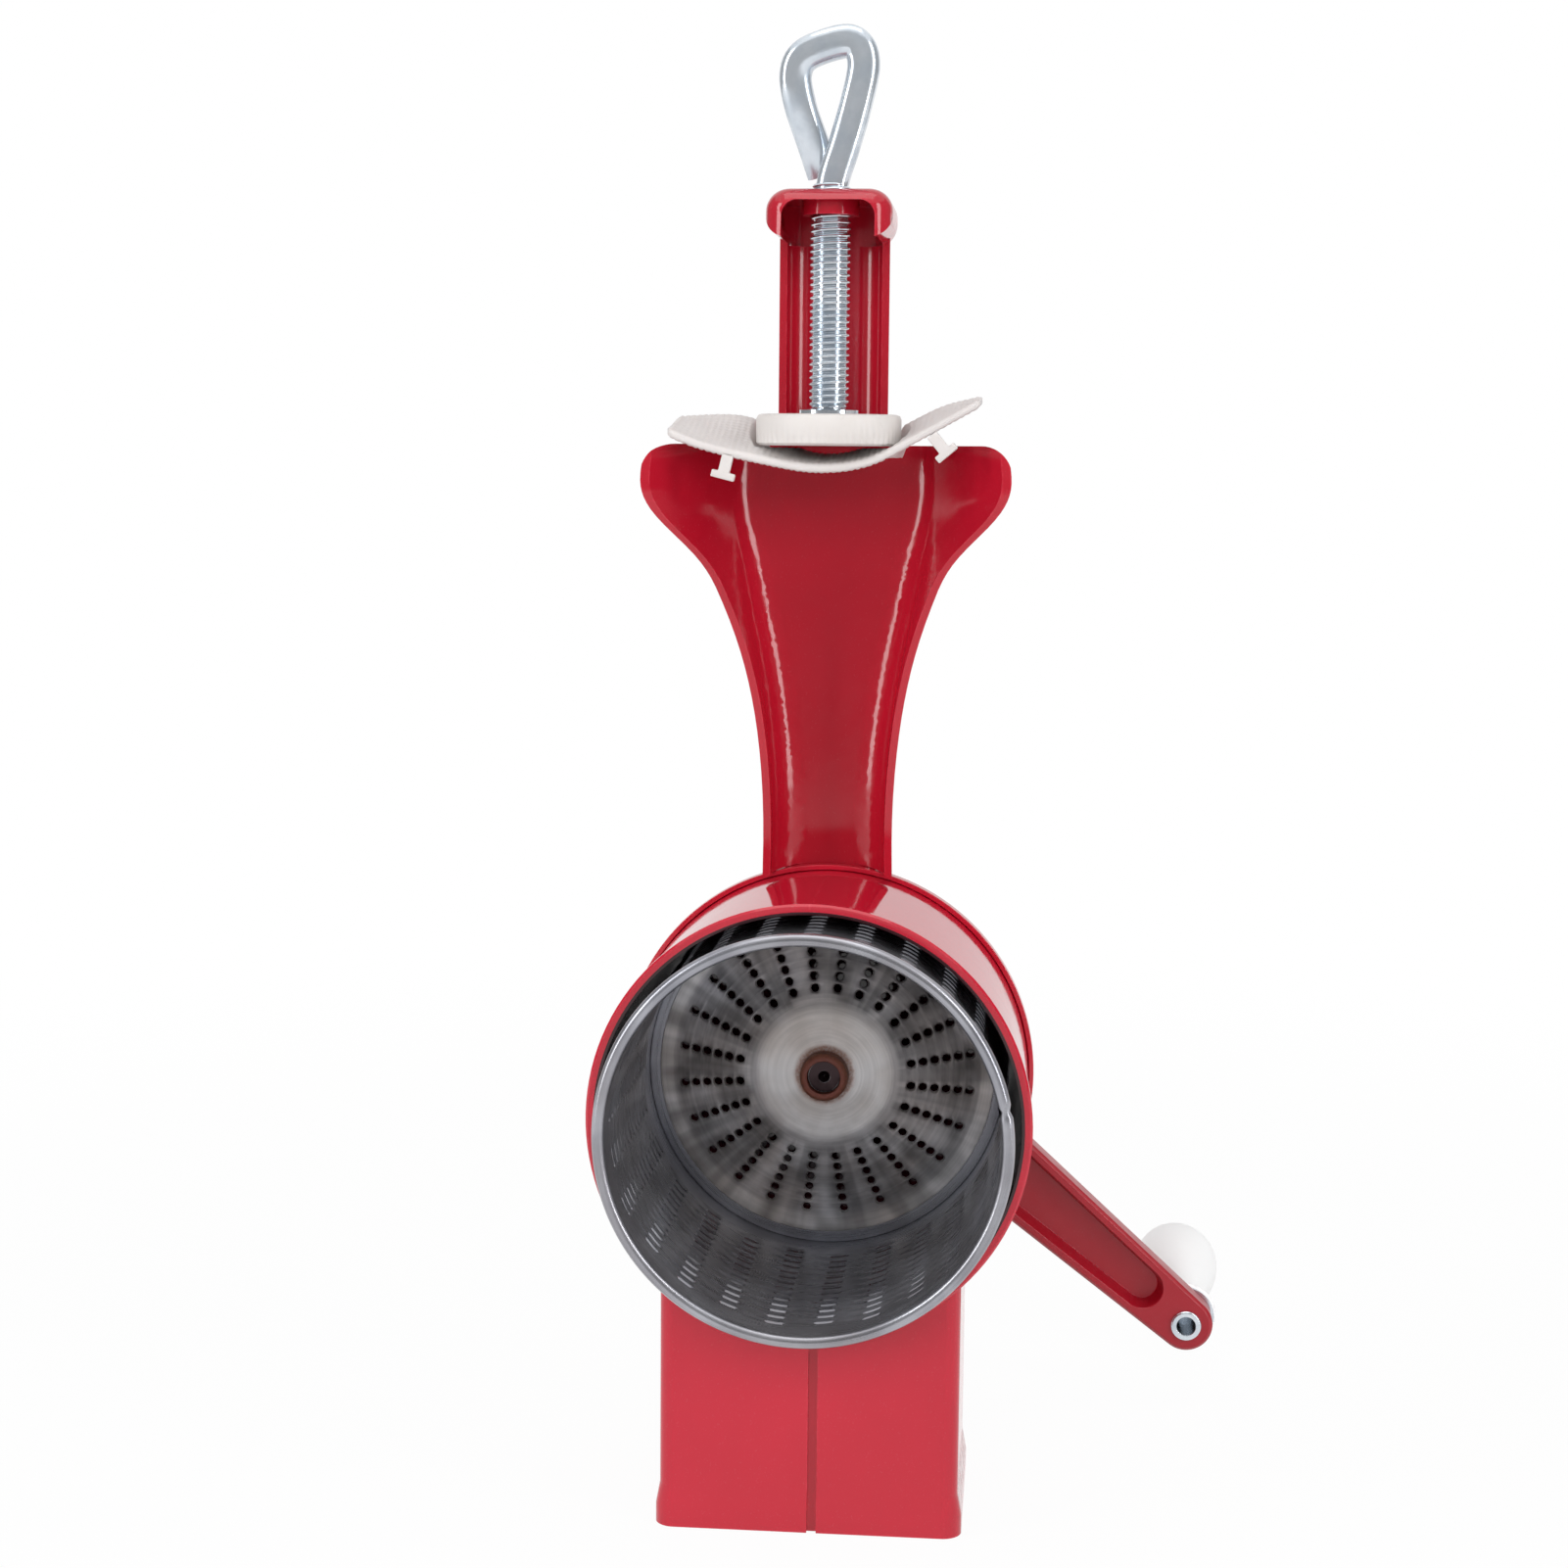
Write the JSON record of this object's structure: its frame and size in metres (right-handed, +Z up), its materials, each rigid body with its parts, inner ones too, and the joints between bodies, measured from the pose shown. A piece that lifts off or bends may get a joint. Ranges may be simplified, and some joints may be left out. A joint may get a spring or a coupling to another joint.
{
  "type": "rotary cheese grater",
  "caption": "Hand-cranked rotary cheese grater: perforated steel drum in a red pressed housing with a hopper, on a channel frame with a clamp and a looped screw.",
  "frame": {"origin": "centre of the hopper's rim, on the surface it stands on", "axes": "+Z up from the hopper rim to the clamp's loop, -Y out of the drum's open mouth, +Y along the shaft to the crank, +X to the side on which the crank rests"},
  "size_m": [0.1274, 0.1514, 0.2863],
  "materials": {
    "frame_enamel": "gloss",
    "housing_enamel": "gloss",
    "crank_enamel": "satin",
    "bush_metal": "satin",
    "zinc_steel": "polished",
    "drum_steel": "satin",
    "hub_steel": "satin",
    "shaft_steel": "satin",
    "rivet_steel": "polished",
    "disc_plastic": "satin",
    "pad_plastic": "matte",
    "grip_plastic": "gloss"
  },
  "bodies": {
    "stand": {"frame": "frame_enamel", "back_plate": "housing_enamel", "housing_left": "housing_enamel", "housing_right": "housing_enamel", "bearing_tube": "frame_enamel", "front_bush": "bush_metal", "rear_bush": "bush_metal", "clamp_nut": "zinc_steel", "jaw_pad": "pad_plastic"},
    "drum": {"drum_shell": "drum_steel", "drum_end": "drum_steel", "drum_hub": "hub_steel", "crank_shaft": "shaft_steel", "thrust_washer": "shaft_steel", "crank_arm": "crank_enamel", "crank_washer": "zinc_steel", "crank_nut": "zinc_steel", "grip_rivet": "rivet_steel", "grip_washer": "zinc_steel"},
    "grip": {"grip": "grip_plastic"},
    "clamp": {"pressure_disc": "disc_plastic", "swivel_washer": "zinc_steel"},
    "screw": {"clamp_screw": "zinc_steel"}
  },
  "joints": [
    {"name": "drum_spin", "type": "hinge", "parent": "stand", "child": "drum", "pos_m": [0, 0, 0.0817], "axis": [0, -1, 0], "continuous": true},
    {"name": "grip_spin", "type": "hinge", "parent": "drum", "child": "grip", "pos_m": [0.0761, 0.08, 0.01807], "axis": [0, -1, 0], "continuous": true},
    {"name": "clamp_feed", "type": "slide", "parent": "stand", "child": "clamp", "axis": [0, 0, 1], "range_m": [0, 0.028]},
    {"name": "screw_turn", "type": "hinge", "parent": "clamp", "child": "screw", "pos_m": [0, 0.0062, 0.2417], "axis": [0, 0, 1], "range_deg": [-10, 8100]}
  ],
  "couplings": [
    {"joint": "screw_turn", "follows": "clamp_feed", "rad_per_m": 5026.5}
  ]
}
